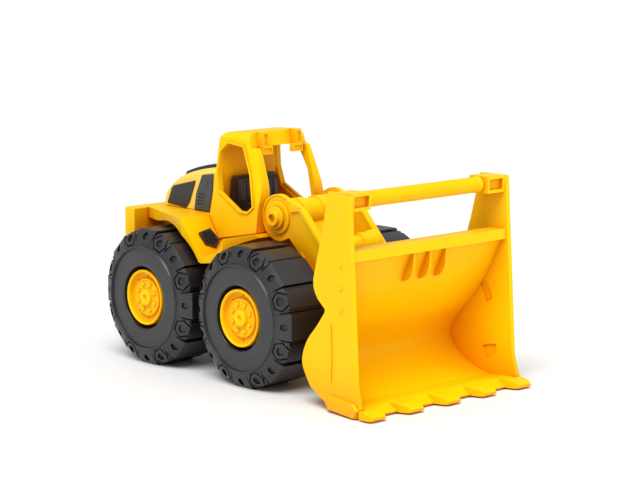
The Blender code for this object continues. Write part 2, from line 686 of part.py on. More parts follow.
def bucket_side(side, tag):
    """Side plate, standing above the shelf as the post that carries the handle."""
    outline = [(3.985, 2.98), (3.83, 2.34), (3.66, 1.78), (3.665, 1.64), (3.76, 1.495), (3.915, 1.385)]
    outline += [(3.905, 1.335)] + rounded([(3.72, 1.115), (3.50, 0.870), (3.405, 0.571), (3.585, 0.270)], 3)
    outline += [(3.82, 0.155), (3.90, 0.125), (3.96, 0.045), (4.63, 0.022), (4.66, 0.150), (4.58, 0.430)]
    outline += [(4.43, 2.97)]
    bm = bmesh.new()
    inner = PAN_HALF + FIT_GAP
    drafted(bm, outline, side * inner, side * SIDE_OUTER)
    obj = finish(bm, f"bucket_side_{tag}", "yellow_plastic")
    shoes = bmesh.new()
    shoe = [(3.985, 0.040), (4.60, 0.016), (4.655, 0.130), (4.56, 0.215), (4.03, 0.235)]
    rings = []
    for y, scale in ((inner + 0.02, 1.0), (SIDE_OUTER + 0.012, 1.0), (SIDE_OUTER + 0.045, 0.93)):
        ring = [(4.35 + (x - 4.35) * scale, 0.12 + (z - 0.12) * scale) for x, z in shoe]
        rings.append([(x, side * (y - DRAFT * (PLATE_FRONT - x)), z) for x, z in ring])
    loft(shoes, rings)
    combine(obj, shoes, "UNION", "shoe")
    blocks = bmesh.new()
    block = [(4.055, 2.975), (4.05, 2.755), (4.415, 2.745), (4.425, 2.985)]
    prism(blocks, block, side * (GRIP_HALF + FIT_GAP), side * (inner + 0.02))
    combine(obj, blocks, "UNION", "grip_block")
    details = bmesh.new()
    for x, z in ((4.255, 2.02), (4.262, 1.72), (4.27, 1.42)):
        face = SIDE_OUTER - DRAFT * (PLATE_FRONT - x)
        turned(details, (x, z), [(0.036, side * (face - 0.03)), (0.030, side * (face + 0.018))], 10)
    rib = [(4.02, 0.42), (4.06, 0.42), (4.075, 0.80), (4.06, 1.20), (4.03, 1.20), (4.035, 0.80)]
    drafted(details, rib, side * (inner + 0.02), side * (SIDE_OUTER + 0.015))
    combine(obj, details, "UNION", "bosses")
    pocket = bmesh.new()
    recess = 0.30
    box(pocket, 4.36, 4.60, side * (GRIP_HALF + 0.035), side * (GRIP_HALF + recess), 2.79, 2.94)
    combine(obj, pocket, "DIFFERENCE", "block_pocket")


def bucket_grip():
    """Round knurled grip bar between the two posts."""
    bm = bmesh.new()
    end = GRIP_HALF
    profile = [(GRIP_RADIUS, -end), (GRIP_RADIUS, -end + 0.12), (GRIP_RADIUS - 0.01, -end + 0.14)]
    knurls = 12
    span = 2 * (end - 0.16)
    for index in range(knurls + 1):
        y = -end + 0.16 + span * index / knurls
        profile.append((GRIP_RADIUS - (0.012 if index % 2 else 0.002), y))
    profile += [(GRIP_RADIUS - 0.01, end - 0.14), (GRIP_RADIUS, end - 0.12), (GRIP_RADIUS, end)]
    turned(bm, GRIP, profile, 16)
    finish(bm, "bucket_grip", "yellow_plastic", 60.0)


def wheels():
    for end, centre_x in (("rear", 0.0), ("front", WHEELBASE)):
        axle(f"{end}_axle", centre_x)
        for side, tag in ((1, "l"), (-1, "r")):
            tyre(f"tyre_{end}_{tag}", centre_x, side)
            rim(f"rim_{end}_{tag}", centre_x, side)


def both_sides():
    for side, tag in ((1, "l"), (-1, "r")):
        hood_panels(side, tag)
        grille(side, tag)
        pivot_bolt(side, tag)
        lift_arm(side, tag)
        bucket_side(side, tag)


clear_scene()
wheels()
chassis()
chassis_screws()
body_shell()
counterweight()
hood()
hood_top_panel()
cab()
seat()
front_tower()
both_sides()
torque_tube()
hinge_pin()
bucket_pan()
bucket_grip()
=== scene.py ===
"""Toy wheel loader: the detailed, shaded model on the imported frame.

Shapes are drawn in tyre radii from the rear axle, as the CAD is: x forwards, y to the left, z up.
"""

import math

import bmesh
import bpy
from mathutils import Matrix, Vector


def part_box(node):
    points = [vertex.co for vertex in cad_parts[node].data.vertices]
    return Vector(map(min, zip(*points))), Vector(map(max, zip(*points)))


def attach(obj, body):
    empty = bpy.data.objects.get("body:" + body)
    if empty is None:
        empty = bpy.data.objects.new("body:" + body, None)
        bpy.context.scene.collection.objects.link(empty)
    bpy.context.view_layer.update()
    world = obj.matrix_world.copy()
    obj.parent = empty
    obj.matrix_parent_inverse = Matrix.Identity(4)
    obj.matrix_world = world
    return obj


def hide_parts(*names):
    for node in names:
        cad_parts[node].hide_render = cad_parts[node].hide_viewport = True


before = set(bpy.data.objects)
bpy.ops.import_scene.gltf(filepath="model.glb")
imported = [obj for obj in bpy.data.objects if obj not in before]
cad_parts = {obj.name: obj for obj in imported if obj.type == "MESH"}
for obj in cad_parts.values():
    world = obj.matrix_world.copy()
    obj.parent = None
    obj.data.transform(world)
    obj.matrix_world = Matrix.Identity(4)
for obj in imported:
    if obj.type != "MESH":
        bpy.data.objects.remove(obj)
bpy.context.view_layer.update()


def middle(node):
    low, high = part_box(node)
    return [(a + b) / 2 for a, b in zip(low, high)]


REAR = middle("tyre_rear_l")
FRONT = middle("tyre_front_l")
R = REAR[2]
AXLE_X = REAR[0]


def place_of(node):
    """(x, z) of a node's middle, in tyre radii."""
    x, _, z = middle(node)
    return ((x - AXLE_X) / R, z / R)


WHEELBASE = (FRONT[0] - AXLE_X) / R
PIVOT = place_of("arm_pivot_bolt_l")
HINGE = place_of("bucket_hinge_pin")
TORQUE_TUBE = place_of("arm_torque_tube")
GRIP = place_of("bucket_grip")
GAP = 0.0003 / R

# The tread repeats eight times: a lug stands midway between two facets.
REPEATS = 8
EIGHTH = 45.0
FACET_HALF_DEG = 11.0
COS_FACET = math.cos(math.radians(FACET_HALF_DEG))
RIM_SEAT = 0.424

# ---------------------------------------------------------------- materials


def noise_of(tree, coords, scale, detail, stretch=None):
    noise = tree.nodes.new("ShaderNodeTexNoise")
    noise.inputs["Scale"].default_value = scale
    noise.inputs["Detail"].default_value = detail
    source = coords.outputs["Object"]
    if stretch:
        mapping = tree.nodes.new("ShaderNodeMapping")
        mapping.inputs["Scale"].default_value = stretch
        tree.links.new(source, mapping.inputs["Vector"])
        source = mapping.outputs["Vector"]
    tree.links.new(source, noise.inputs["Vector"])
    return noise.outputs["Fac"]


def spread(tree, value, start, end, low=0.0, high=1.0):
    """The value's run from start to end, spread over low to high."""
    node = tree.nodes.new("ShaderNodeMapRange")
    for socket, number in (("From Min", start), ("From Max", end), ("To Min", low), ("To Max", high)):
        node.inputs[socket].default_value = number
    tree.links.new(value, node.inputs["Value"])
    return node.outputs["Result"]


def turning_to(tree, factor, colour, other):
    """The colour, turning into the other one as the factor rises."""
    node = tree.nodes.new("ShaderNodeMix")
    node.data_type = "RGBA"
    node.inputs["B"].default_value = (*other, 1.0)
    tree.links.new(factor, node.inputs["Factor"])
    tree.links.new(colour, node.inputs["A"])
    return node.outputs["Result"]


def bump(tree, height, strength, distance):
    node = tree.nodes.new("ShaderNodeBump")
    node.inputs["Strength"].default_value = strength
    node.inputs["Distance"].default_value = distance
    tree.links.new(height, node.inputs["Height"])
    return node


def moulded(
    name, colour, tint, rough, grain=0.10, pitch=1500.0, metallic=0.0, stretch=None, sheen=0.5, shade=None
):
    """Plastic or metal: colour drift, rubbed edges, patches of polish, fine grain over soft sink marks.

    With shade, the colour deepens to it in corners and hollows: painted shade, from an ambient occlusion
    mix.
    """
    mat = bpy.data.materials.new(name)
    mat.use_nodes = True
    tree = mat.node_tree
    shader = tree.nodes["Principled BSDF"]
    coords = tree.nodes.new("ShaderNodeTexCoord")
    drift = tree.nodes.new("ShaderNodeValToRGB")
    low, high = drift.color_ramp.elements
    low.position, high.position = 0.32, 0.68
    low.color, high.color = (*tint, 1.0), (*colour, 1.0)
    tree.links.new(noise_of(tree, coords, 22.0, 3.0), drift.inputs["Fac"])
    body = drift.outputs["Color"]
    # Painted shade: where ambient occlusion finds corners and hollows, the colour turns to the shade
    # colour.
    if shade:
        hollow = tree.nodes.new("ShaderNodeAmbientOcclusion")
        hollow.samples = 8
        hollow.inputs["Distance"].default_value = 0.05
        body = turning_to(tree, spread(tree, hollow.outputs["AO"], 1.0, 0.25), body, shade)
    geometry = tree.nodes.new("ShaderNodeNewGeometry")
    edge = spread(tree, geometry.outputs["Pointiness"], 0.52, 0.60, 0.0, 0.35)
    rub = tree.nodes.new("ShaderNodeMath")
    rub.operation = "MULTIPLY"
    tree.links.new(edge, rub.inputs[0])
    tree.links.new(noise_of(tree, coords, 90.0, 4.0), rub.inputs[1])
    rubbed = [min(1.0, 1.25 * channel + 0.03) for channel in colour]
    tree.links.new(turning_to(tree, rub.outputs["Value"], body, rubbed), shader.inputs["Base Color"])
    patches = noise_of(tree, coords, 140.0, 5.0, stretch)
    polish = spread(tree, patches, 0.30, 0.70, rough - 0.05, rough + 0.06)
    tree.links.new(polish, shader.inputs["Roughness"])
    sink = bump(tree, noise_of(tree, coords, 38.0, 2.0), 0.10, 0.0006)
    fine = bump(tree, noise_of(tree, coords, pitch, 3.0, stretch), grain, 0.0002)
    tree.links.new(sink.outputs["Normal"], fine.inputs["Normal"])
    tree.links.new(fine.outputs["Normal"], shader.inputs["Normal"])
    shader.inputs["Metallic"].default_value = metallic
    shader.inputs["Specular IOR Level"].default_value = sheen
    return mat


# Painted shade for the yellow plastic: the deeper orange it turns to in corners and hollows.
YELLOW_PAINTED_SHADE = (0.82, 0.27, 0.0)
# Painted shade for the tyre: the near black it turns to in its hollows and grooves.
TYRE_PAINTED_SHADE = (0.004, 0.003, 0.003)
YELLOW = moulded(
    "yellow_shell", (0.97, 0.600, 0.001), (0.95, 0.575, 0.001), 0.38, sheen=0.10, shade=YELLOW_PAINTED_SHADE
)
# Painted light: a paler, lit copy of the yellow plastic, for the light falling on the hood's top.
PAINTED_LIGHT_YELLOW = moulded("yellow_shell_painted_light", (0.96, 0.68, 0.12), (0.94, 0.65, 0.10), 0.36, sheen=0.2)
BLACK = moulded("black_shell", (0.012, 0.012, 0.013), (0.017, 0.017, 0.018), 0.36, 0.14)
SEAT = moulded("seat_gloss", (0.012, 0.011, 0.011), (0.018, 0.017, 0.017), 0.20, 0.08)
GREY = moulded("grey_shell", (0.052, 0.054, 0.058), (0.042, 0.044, 0.048), 0.42, 0.16)
MESH = moulded("mesh_black", (0.016, 0.012, 0.009), (0.022, 0.016, 0.011), 0.48, 0.14)
TYRE = moulded(
    "tyre_plastic", (0.030, 0.030, 0.032), (0.024, 0.024, 0.026), 0.34, 0.22, 1100.0, shade=TYRE_PAINTED_SHADE
)
STEEL = moulded(
    "brushed_steel", (0.60, 0.60, 0.62), (0.50, 0.50, 0.52), 0.28, 0.2, 700.0, 1.0, (1.0, 0.05, 1.0)
)

# ---------------------------------------------------------------- shape tools


def at(x, y, z):
    return Vector((AXLE_X + x * R, y * R, z * R))


def band(bm, first, second):
    for i in range(len(first)):
        j = (i + 1) % len(first)
        bm.faces.new((first[i], first[j], second[j], second[i]))


def loft(bm, rings, place=at):
    loops = [[bm.verts.new(place(*point)) for point in ring] for ring in rings]
    for first, second in zip(loops, loops[1:]):
        band(bm, first, second)
    bm.faces.new(loops[0])
    bm.faces.new(loops[-1])


def hoop(bm, rings, place=at):
    """As loft, but the last ring joins the first, so it has a hole and no caps."""
    loops = [[bm.verts.new(place(*point)) for point in ring] for ring in rings]
    for first, second in zip(loops, loops[1:] + loops[:1]):
        band(bm, first, second)


def prism(bm, outline, y0, y1):
    loft(bm, [[(x, y, z) for x, z in outline] for y in (y0, y1)])


def frame_ring(bm, outer, inner, y0, y1):
    """A raised border between two outlines with as many corners each."""
    plan = ((outer, y0), (outer, y1), (inner, y1), (inner, y0))
    hoop(bm, [[(x, y, z) for x, z in outline] for outline, y in plan])


def box(bm, x0, x1, y0, y1, z0, z1):
    prism(bm, [(x0, z0), (x1, z0), (x1, z1), (x0, z1)], y0, y1)


def circle(centre, radius, count):
    turns = [2 * math.pi * i / count for i in range(count)]
    return [(centre[0] + radius * math.cos(t), centre[1] + radius * math.sin(t)) for t in turns]


def arc(centre, radius, start, end, count):
    turns = [math.radians(start + (end - start) * i / (count - 1)) for i in range(count)]
    return [(centre[0] + radius * math.cos(t), centre[1] + radius * math.sin(t)) for t in turns]


def turned(bm, centre, profile, segments=48, side=1):
    """A solid of revolution about the Y line through centre, from a run of (radius, y)."""
    loft(bm, [[(x, side * y, z) for x, z in circle(centre, radius, segments)] for radius, y in profile])


def grown(points, distance):
    """The (x, z) outline moved outwards by distance, with mitred corners."""
    count = len(points)
    area = sum(points[i - 1][0] * points[i][1] - points[i][0] * points[i - 1][1] for i in range(count))
    turn = 1.0 if area > 0 else -1.0
    moved = []
    for i in range(count):
        before = (Vector(points[i]) - Vector(points[i - 1])).normalized()
        after = (Vector(points[(i + 1) % count]) - Vector(points[i])).normalized()
        n0 = Vector((before.y, -before.x)) * turn
        n1 = Vector((after.y, -after.x)) * turn
        mitre = (n0 + n1).normalized()
        moved.append(tuple(Vector(points[i]) + mitre * distance / max(0.35, mitre.dot(n0))))
    return moved


def inside_by(outline, point):
    """How far a point lies inside a convex outline; below zero when outside."""
    centre = sum((Vector(corner) for corner in outline), Vector((0.0, 0.0))) / len(outline)
    depths = []
    for i, corner in enumerate(outline):
        along = (Vector(corner) - Vector(outline[i - 1])).normalized()
        inward = Vector((-along.y, along.x))
        if inward.dot(centre - Vector(corner)) < 0:
            inward = -inward
        depths.append(inward.dot(Vector(point) - Vector(corner)))
    return min(depths)


def rounded(points, steps=6):
    """A smooth run through the points (Catmull-Rom)."""
    ends = [points[0]] + points + [points[-1]]
    run = []
    for p0, p1, p2, p3 in zip(ends, ends[1:], ends[2:], ends[3:]):
        for step in range(steps):
            t = step / steps
            run.append(
                tuple(
                    b + 0.5 * t * (c - a + t * (2 * a - 5 * b + 4 * c - d + t * (3 * b - a - 3 * c + d)))
                    for a, b, c, d in zip(p0, p1, p2, p3)
                )
            )
    return run + [points[-1]]


def slice_off(bm, point, normal):
    """Removes what lies beyond the plane and closes the cut."""
    parts = bm.verts[:] + bm.edges[:] + bm.faces[:]
    cut = bmesh.ops.bisect_plane(bm, geom=parts, plane_co=point, plane_no=normal, clear_outer=True)
    edges = [item for item in cut["geom_cut"] if isinstance(item, bmesh.types.BMEdge)]
    bmesh.ops.holes_fill(bm, edges=edges, sides=0)


def temporary(bm, name):
    bmesh.ops.recalc_face_normals(bm, faces=bm.faces)
    mesh = bpy.data.meshes.new(name)
    bm.to_mesh(mesh)
    bm.free()
    obj = bpy.data.objects.new(name, mesh)
    bpy.context.scene.collection.objects.link(obj)
    return obj


def shaped(base, steps=(), width=0.0006, segments=2, angle=32.0):
    """The mesh of base after each (operation, bmesh) step, with its sharp edges rounded."""
    obj = temporary(base, "work")
    helpers = []
    for operation, bm in steps:
        helper = temporary(bm, "helper")
        helpers.append(helper)
        modifier = obj.modifiers.new(operation, "BOOLEAN")
        modifier.operation = operation
        modifier.solver = "EXACT"
        modifier.object = helper
    if width:
        modifier = obj.modifiers.new("edges", "BEVEL")
        modifier.width = width
        modifier.segments = segments
        modifier.limit_method = "ANGLE"
        modifier.angle_limit = math.radians(angle)
        modifier.use_clamp_overlap = True
    bpy.context.view_layer.update()
    graph = bpy.context.evaluated_depsgraph_get()
    mesh = bpy.data.meshes.new_from_object(obj.evaluated_get(graph))
    for used in [obj] + helpers:
        old = used.data
        bpy.data.objects.remove(used, do_unlink=True)
        bpy.data.meshes.remove(old)
    return mesh


def moved(mesh, matrix):
    copy = mesh.copy()
    copy.transform(matrix)
    if matrix.determinant() < 0:
        copy.flip_normals()
    return copy


MIRROR = Matrix.Diagonal((1.0, -1.0, 1.0, 1.0))


def piece(name, mesh, body, material, nodes, sharp=38.0):
    """Shows the mesh as a piece that rides on a body and stands for the CAD nodes."""
    mesh.name = name
    mesh.materials.clear()
    mesh.materials.append(material)
    mesh.shade_smooth()
    mesh.set_sharp_from_angle(angle=math.radians(sharp))
    obj = bpy.data.objects.new(name, mesh)
    bpy.context.scene.collection.objects.link(obj)
    weighted = obj.modifiers.new("flat_faces", "WEIGHTED_NORMAL")
    weighted.keep_sharp = True
    weighted.weight = 80
    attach(obj, body)
    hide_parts(*nodes)
    return obj


def pair(stem, mesh, body, material, sharp=38.0):
    """The left piece and its mirror image, standing for nodes stem_l and stem_r."""
    piece(f"v_{stem}_r", moved(mesh, MIRROR), body, material, [f"{stem}_r"], sharp)
    piece(f"v_{stem}_l", mesh, body, material, [f"{stem}_l"], sharp)


# ---------------------------------------------------------------- wheels

ABOVE_TYRE = 1.62
SHOULDER = ((0.770, 1.505), (0.815, 1.492), (0.900, 1.478), (0.999, 1.398), (1.05, 1.36))


def shoulder_y(radius):
    """Height of the tyre's shoulder along the axle, at that radius."""
    for (r0, y0), (r1, y1) in zip(SHOULDER, SHOULDER[1:]):
        if radius <= r1:
            return y0 + (y1 - y0) * max(0.0, radius - r0) / (r1 - r0)
    return SHOULDER[-1][1]


def wheel_place(x, y, z):
    return Vector((x * R, y * R, z * R))


# Angle in degrees within one eighth of the tread, and what stands there.
TREAD = [(FACET_HALF_DEG * part, "facet") for part in (-1.0, -0.5, 0.0, 0.5, 1.0)]
TREAD += [(11.55, "groove"), (12.15, "groove"), (12.7, "ledge"), (14.4, "ledge")]
TREAD += [(a, "lug") for a in (14.9, 18.7, 22.5, 26.3, 30.1)]
TREAD += [(30.6, "ledge"), (32.3, "ledge"), (32.85, "groove"), (33.45, "groove")]


def tread_ring(y, lug, facet, groove, flat):
    """One ring of the tyre; flat is 1 where the facets are cut straight across."""
    sizes = {"facet": facet, "groove": groove, "ledge": lug - 0.014 * flat, "lug": lug}
    points = []
    for repeat in range(REPEATS):
        for angle, what in TREAD:
            radius = sizes[what]
            if what == "facet":
                chord = COS_FACET / math.cos(math.radians(angle))
                radius *= 1.0 + flat * (chord - 1.0)
            turn = math.radians(EIGHTH * repeat + angle)
            points.append((radius * math.cos(turn), y, radius * math.sin(turn)))
    return points


def on_shoulder(angle, radius, outline, depth):
    """An outline (sideways, outwards) sunk into the shoulder by depth, and its copy above the tyre."""
    low, high = [], []
    for u, v in outline:
        r = radius + v
        x = r * math.cos(angle) - u * math.sin(angle)
        z = r * math.sin(angle) + u * math.cos(angle)
        low.append((x, shoulder_y(math.hypot(x, z)) - depth, z))
        high.append((x, ABOVE_TYRE, z))
    return low, high


def polygon(radius, count, phase=0.0, squeeze=1.0):
    turns = [math.radians(phase) + 2 * math.pi * i / count for i in range(count)]
    return [(radius * math.cos(t), radius * squeeze * math.sin(t)) for t in turns]


def tyre_mesh():
    facet = 1.0 / COS_FACET
    rows = [
        (RIM_SEAT, RIM_SEAT, RIM_SEAT, 0.630, 0.0),
        (0.700, 0.700, 0.700, 0.630, 0.0),
        (0.860, 0.870, 0.840, 0.655, 0.3),
        (0.945, 0.962, 0.900, 0.695, 0.7),
        (0.999, facet, 0.955, 0.760, 1.0),
        (0.999, facet, 0.955, 1.398, 1.0),
        (0.960, 0.968, 0.915, 1.436, 0.9),
        (0.900, 0.892, 0.850, 1.478, 0.5),
        (0.815, 0.808, 0.800, 1.492, 0.2),
        (0.776, 0.776, 0.776, 1.503, 0.0),
        (0.766, 0.766, 0.766, 1.528, 0.0),
        (0.760, 0.760, 0.760, 1.534, 0.0),
        (0.746, 0.746, 0.746, 1.533, 0.0),
        (0.736, 0.736, 0.736, 1.504, 0.0),
        (0.640, 0.640, 0.640, 1.503, 0.0),
        (0.520, 0.520, 0.520, 1.508, 0.0),
        (0.484, 0.484, 0.484, 1.508, 0.0),
        (0.470, 0.470, 0.470, 1.503, 0.0),
        (0.461, 0.461, 0.461, 1.490, 0.0),
        (0.449, 0.449, 0.449, 1.400, 0.0),
        (RIM_SEAT, RIM_SEAT, RIM_SEAT, 1.375, 0.0),
    ]
    base = bmesh.new()
    hoop(base, [tread_ring(y, lug, face, groove, flat) for lug, face, groove, y, flat in rows], wheel_place)
    cuts = bmesh.new()
    for repeat in range(REPEATS):
        lug_turn = math.radians(EIGHTH * (repeat + 0.5))
        facet_turn = math.radians(EIGHTH * repeat)
        outer = on_shoulder(lug_turn, 0.905, polygon(0.150, 6, 0.0, 0.88), 0.034)
        inner = on_shoulder(lug_turn, 0.905, polygon(0.124, 6, 0.0, 0.87), 0.034)
        hoop(cuts, [outer[0], outer[1], inner[1], inner[0]], wheel_place)
        low, high = on_shoulder(lug_turn, 0.905, polygon(0.066, 6, 0.0, 0.90), 0.026)
        loft(cuts, [low, high], wheel_place)
        low, high = on_shoulder(facet_turn, 0.912, polygon(0.058, 5, 90.0, 1.05), 0.036)
        loft(cuts, [low, high], wheel_place)
    bmesh.ops.triangulate(cuts, faces=cuts.faces)
    return shaped(base, [("DIFFERENCE", cuts)], 0.00038, 2, 30.0)


def rim_mesh():
    lip = RIM_SEAT * COS_FACET - GAP
    bore = 0.039 + GAP
    profile = [(0.018, 1.463), (0.034, 1.466), (0.040, 1.484), (0.052, 1.490), (0.100, 1.490)]
    profile += [(0.116, 1.484), (0.126, 1.466), (0.132, 1.444), (0.152, 1.437), (0.246, 1.437)]
    profile += [(0.254, 1.446), (0.268, 1.446), (0.279, 1.437), (0.286, 1.409), (0.300, 1.405)]
    profile += [(0.340, 1.411), (0.354, 1.425), (0.364, 1.470), (0.371, 1.487), (0.384, 1.497)]
    profile += [(lip - 0.012, 1.499), (lip - 0.003, 1.490), (lip, 1.470), (lip, 1.370)]
    profile += [(lip - 0.010, 0.750), (0.355, 0.760), (0.345, 1.320), (0.145, 1.300), (0.130, 0.640)]
    profile += [(bore, 0.640), (bore, 1.461)]
    base = bmesh.new()
    rings = [[(x, y, z) for x, z in circle((0.0, 0.0), radius, 72)] for radius, y in profile]
    loft(base, rings, wheel_place)
    studs = bmesh.new()
    holes = bmesh.new()
    for index in range(8):
        turn = math.pi * (index + 0.5) / 4
        centre = (0.200 * math.cos(turn), 0.200 * math.sin(turn))
        dome = ((0.030, 1.425), (0.029, 1.452), (0.023, 1.463), (0.012, 1.468))
        loft(studs, [[(x, y, z) for x, z in circle(centre, radius, 14)] for radius, y in dome], wheel_place)
        turn = math.pi * index / 4
        centre = (0.318 * math.cos(turn), 0.318 * math.sin(turn))
        loft(holes, [[(x, y, z) for x, z in circle(centre, 0.013, 10)] for y in (1.385, 1.45)], wheel_place)
    return shaped(base, [("UNION", studs), ("DIFFERENCE", holes)], 0.00025, 1, 40.0)


def wheels():
    tyre = tyre_mesh()
    rim = rim_mesh()
    for end, centre in (("rear", REAR), ("front", FRONT)):
        for tag, side in (("l", 1.0), ("r", -1.0)):
            spot = Matrix.Translation((centre[0], 0.0, centre[2])) @ Matrix.Diagonal((1.0, side, 1.0, 1.0))
            body = f"{end}_wheelset"
            piece(f"v_tyre_{end}_{tag}", moved(tyre, spot), body, TYRE, [f"tyre_{end}_{tag}"], 34.0)
            piece(f"v_rim_{end}_{tag}", moved(rim, spot), body, YELLOW, [f"rim_{end}_{tag}"])


# ---------------------------------------------------------------- body

CHASSIS_TOP = 1.56
DECK_Z = 2.20
BODY_HALF = 0.515
HOOD_HALF = 0.50
SLOPE_TOP = (0.49, DECK_Z)
SLOPE_FOOT = (0.93, 1.69)


def fender(side):
    rear, front, reach = (0.0, 1.0), (WHEELBASE, 1.0), 1.09
    outline = [(-0.775, 2.04), (-0.775, DECK_Z), SLOPE_TOP, SLOPE_FOOT, (1.04, 1.695), (1.30, 1.80)]
    outline += [(1.40, 1.89), (1.45, 2.010), (1.50, 2.020), (1.58, 2.038), (1.70, 2.056)]
    outline += arc(front, reach, 112.0, 144.0, 14)
    outline += [(1.105, 1.615), (0.955, 1.595)] + arc(rear, reach, 34.0, 104.0, 22) + [(-0.42, 2.04)]
    bm = bmesh.new()
    prism(bm, outline, side * (BODY_HALF - 0.06), side * 1.20)
    planes = (
        (at(-0.73, side * 0.80, 0.0), Vector((-0.32, side, 0.0))),
        (at(1.45, side * 1.20, 0.0), Vector((1.0, side * 0.62, 0.0))),
    )
    for point, normal in planes:
        slice_off(bm, point, normal)
    return bm


def body_shell():
    base = bmesh.new()
    floor = CHASSIS_TOP + GAP
    prism(base, [(-0.77, floor), (-0.77, DECK_Z), (1.56, DECK_Z), (1.56, floor)], -BODY_HALF, BODY_HALF)
    cavity = bmesh.new()
    box(cavity, -0.71, 1.50, -0.454, 0.454, 1.40, DECK_Z - 0.06)
    steps = [("UNION", fender(1)), ("UNION", fender(-1)), ("DIFFERENCE", cavity)]
    piece("v_body_shell", shaped(base, steps, 0.0010, 3), "frame", YELLOW, ["body_shell"])


def counterweight():
    plan = [(-1.02, -0.98), (-0.99, -1.07), (-0.76, -1.07), (-0.76, -0.81), (-0.785, -0.80)]
    plan += [(x, -y) for x, y in reversed(plan)]
    base = bmesh.new()
    loft(base, [[(x, y, z) for x, y in plan] for z in (1.77, DECK_Z)])
    recess = bmesh.new()
    box(recess, -1.10, -0.985, -0.62, 0.62, 1.88, 2.11)
    under = bmesh.new()
    for side in (-1, 1):
        box(under, -0.95, -0.83, side * 0.30, side * 0.95, 1.70, 2.12)
    steps = [("DIFFERENCE", recess), ("DIFFERENCE", under)]
    piece("v_counterweight", shaped(base, steps, 0.0016, 4), "frame", YELLOW, ["counterweight"])


HOOD_STATIONS = [(-0.750, 2.400, 0.10), (-0.690, 2.515, 0.10), (-0.600, 2.600, 0.10), (-0.470, 2.675, 0.10)]
HOOD_STATIONS += [(-0.200, 2.770, 0.12), (0.120, 2.845, 0.15), (0.420, 2.890, 0.18)]


def hood_section(x, top, lean):
    points = []
    for y, z in ((HOOD_HALF, DECK_Z + GAP), (HOOD_HALF - 0.015, top - 0.07), (HOOD_HALF - 0.12, top)):
        points.append((x + lean * (z - DECK_Z), y, z))
    return points + [(px, -y, z) for px, y, z in reversed(points)]


def hood():
    stations = rounded(HOOD_STATIONS, 4)
    base = bmesh.new()
    loft(base, [hood_section(*station) for station in stations])
    cavity = bmesh.new()
    box(cavity, -0.56, 0.36, -HOOD_HALF + 0.08, HOOD_HALF - 0.08, 2.10, 2.46)
    # The hood wears the paler yellow: painted light on its top.
    piece("v_hood", shaped(base, [("DIFFERENCE", cavity)], 0.0012, 3, 26.0), "frame", PAINTED_LIGHT_YELLOW, ["hood"])
    strip = bmesh.new()
    rings = []
    for x, top, lean in [s for s in stations if s[0] > -0.475]:
        low = top + GAP
        forward = x + lean * (top - DECK_Z)
        plan = ((0.350, low), (0.334, low + 0.036), (0.320, low + 0.050), (0.280, low + 0.044))
        half = [(forward, y, z) for y, z in plan]
        rings.append(half + [(px, -y, z) for px, y, z in reversed(half)])
    loft(strip, rings)
    piece("v_hood_top_panel", shaped(strip, (), 0.0003, 2), "frame", BLACK, ["hood_top_panel"])


def on_flank(outline, lifts):
    """Rings of an (x, z) outline laid against the hood's left flank."""
    slope = 0.015 / 0.60
    rings = []
    for shrink, lift in lifts:
        ring = grown(outline, -shrink) if shrink else outline
        rings.append([(x, HOOD_HALF + 0.001 - slope * (z - DECK_Z) + lift, z) for x, z in ring])
    return rings


def hood_panels():
    badge = [(-0.66, 2.245), (-0.56, 2.475), (-0.52, 2.520), (0.0, 2.645), (-0.13, 2.315), (-0.22, 2.212)]
    base = bmesh.new()
    loft(base, on_flank(badge, ((0.0, GAP), (0.0, GAP + 0.012), (0.012, GAP + 0.018))))
    pair("hood_badge_panel", shaped(base, (), 0.0002, 2), "frame", BLACK)
    vent = [(-0.01, 2.212), (0.03, 2.46), (0.165, 2.745), (0.415, 2.785), (0.40, 2.50), (0.33, 2.212)]
    base = bmesh.new()
    loft(base, on_flank(vent, ((0.0, GAP), (0.0, GAP + 0.018), (0.012, GAP + 0.026))))
    slots = bmesh.new()
    for row in range(4):
        z = 2.30 + 0.050 * row
        x = 0.075 + 0.010 * row
        box(slots, x, x + 0.150, HOOD_HALF + 0.012, HOOD_HALF + 0.06, z, z + 0.022)
    mark = bmesh.new()
    latch = polygon(0.052, 6, 30.0)
    prism(mark, [(0.270 + u, 2.640 + v) for u, v in latch], HOOD_HALF, HOOD_HALF + 0.032)
    steps = [("DIFFERENCE", slots), ("UNION", mark)]
    pair("hood_vent", shaped(base, steps, 0.0003, 2), "frame", GREY)


def grille():
    slope_top = Vector((SLOPE_TOP[0], 0.0, SLOPE_TOP[1]))
    slope_foot = Vector((SLOPE_FOOT[0], 0.0, SLOPE_FOOT[1]))
    down = (slope_foot - slope_top).normalized()
    out = Vector((-down.z, 0.0, down.x)).normalized()
    centre = slope_top + down * 0.410

    def on_slope(across, along, lift):
        point = centre + down * along + out * lift
        return at(point.x, 0.872 + across, point.z)

    plate = [(0.141, -0.122), (-0.095, -0.170), (-0.160, 0.045), (-0.028, 0.166), (0.128, 0.086)]
    plate += [(0.146, -0.075)]
    base = bmesh.new()
    loft(base, [[(u, v, lift) for u, v in plate] for lift in (GAP, 0.030)], on_slope)
    cells = bmesh.new()
    pitch = 0.040
    for row in range(-5, 6):
        for column in range(-5, 6):
            u = pitch * (column + (0.5 if row % 2 else 0.0))
            v = pitch * 0.866 * row
            if inside_by(plate, (u, v)) < 0.026:
                continue
            hexagon = [(u + a, v + b) for a, b in polygon(0.0195, 6, 90.0)]
            loft(cells, [[(a, b, lift) for a, b in hexagon] for lift in (0.012, 0.05)], on_slope)
    pair("grille", shaped(base, [("DIFFERENCE", cells)], 0.00012, 1), "frame", MESH)


# ---------------------------------------------------------------- cab

CAB_HALF = 0.532
CAB_TOP = 3.455
CAB_FLARE = 0.11
WALL = 0.06
THIN_WALL = 0.024
DOORWAY_HALF = 0.435


def flared(bm):
    """The cab's walls lean outwards on the way down."""
    for vert in bm.verts:
        vert.co.y *= 1.0 + CAB_FLARE * (CAB_TOP - vert.co.z / R) / CAB_HALF
    return bm


